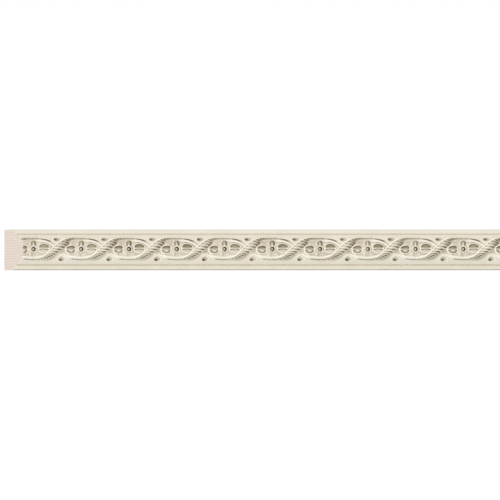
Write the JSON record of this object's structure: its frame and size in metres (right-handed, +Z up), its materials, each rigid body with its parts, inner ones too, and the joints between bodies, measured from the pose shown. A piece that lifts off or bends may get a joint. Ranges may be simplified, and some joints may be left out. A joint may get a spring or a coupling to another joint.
{
  "type": "carved wooden moulding",
  "caption": "Straight wooden trim strip with a domed front between two sloping fillets, carved with a twisted-rope guilloche and a flower in each eye, mitred at one end.",
  "frame": {"origin": "middle of the flat back, where the strip is fixed to a wall or a piece of furniture", "axes": "+X along the strip to its square end, +Y out of the flat back into the wall, +Z up across the strip's width"},
  "size_m": [0.5, 0.0211, 0.04],
  "materials": {
    "ivory_paint": "satin ivory paint, rubbed with a brown patina that stays in the hollows of the carving"
  },
  "bodies": {
    "root": {"carved_moulding": "ivory_paint"}
  },
  "joints": []
}
